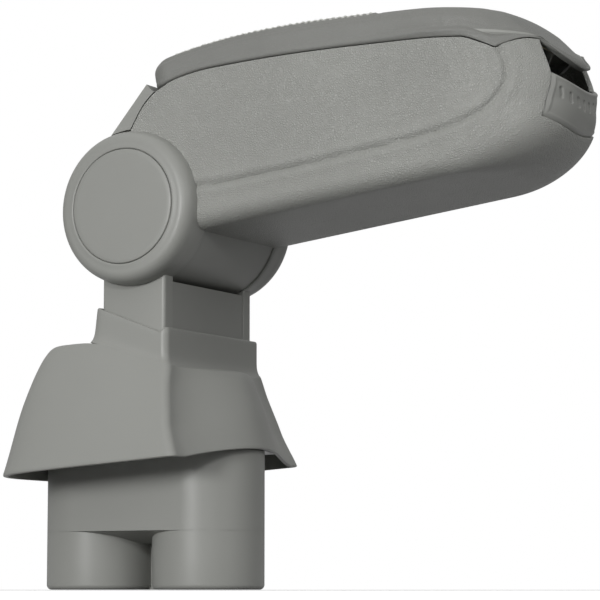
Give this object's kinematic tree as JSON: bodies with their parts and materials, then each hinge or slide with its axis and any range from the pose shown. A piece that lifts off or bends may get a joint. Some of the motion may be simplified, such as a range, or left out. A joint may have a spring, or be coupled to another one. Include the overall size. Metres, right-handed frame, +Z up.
{
  "type": "car centre armrest",
  "caption": "Car centre armrest with a cup-holder plug, a hooded post with a round friction hinge, and a storage box with padded lid and front latch",
  "frame": {"origin": "centre of the plug's underside", "axes": "+X runs forward along the arm, +Z is up, -Y is the right side; the arm rests at its lowest stop and the lid is shut"},
  "size_m": [0.3656, 0.145, 0.3315],
  "materials": {
    "shell_plastic": "smooth satin grey moulded plastic",
    "grained_plastic": "fine leather-grained grey moulded plastic",
    "inner_plastic": "plain dark grey moulded plastic",
    "latch_plastic": "smooth grey plastic with sunk grip slots",
    "bush_plastic": "natural low-friction plastic",
    "friction_lining": "dull friction lining",
    "leatherette": "grey leatherette with double seam stitching",
    "foam": "open-cell padding foam",
    "zinc_steel": "bright zinc-plated steel"
  },
  "bodies": {
    "base": {"cup_plug": "shell_plastic", "skirt_shroud": "shell_plastic", "post_cover_right": "shell_plastic", "post_cover_left": "shell_plastic", "post_panel_front": "inner_plastic", "post_panel_rear": "inner_plastic", "hub_cap_right": "shell_plastic", "hub_cap_left": "shell_plastic", "deck_plate": "zinc_steel", "support_bracket": "zinc_steel", "axle_bolt": "zinc_steel", "axle_nut": "zinc_steel", "axle_washers": "zinc_steel", "disc_springs": "zinc_steel", "friction_discs": "friction_lining", "travel_stops": "zinc_steel", "deck_bolts": "zinc_steel", "deck_nuts": "zinc_steel", "plug_screws": "zinc_steel", "skirt_screws": "zinc_steel", "cover_screws": "zinc_steel"},
    "arm": {"arm_hub": "shell_plastic", "arm_shell": "grained_plastic", "hub_bushes": "bush_plastic", "storage_tray": "inner_plastic", "tray_screws": "zinc_steel", "lid_pin": "zinc_steel", "latch_pin": "zinc_steel"},
    "lid": {"lid_base": "inner_plastic", "lid_foam": "foam", "lid_cover": "leatherette"},
    "latch": {"latch_lever": "latch_plastic", "latch_spring": "zinc_steel"}
  },
  "joints": [
    {"name": "arm_hinge", "type": "hinge", "parent": "base", "child": "arm", "pos_m": [0.016, 0, 0.227], "axis": [0, -1, 0], "range_deg": [0, 95]},
    {"name": "lid_hinge", "type": "hinge", "parent": "arm", "child": "lid", "pos_m": [0.03608, 0, 0.30553], "axis": [0, -1, 0], "range_deg": [0, 70]},
    {"name": "latch_hinge", "type": "hinge", "parent": "arm", "child": "latch", "pos_m": [0.26513, 0, 0.25759], "axis": [0, -1, 0], "range_deg": [0, 8], "stiffness_Nm_per_rad": 0.06}
  ]
}
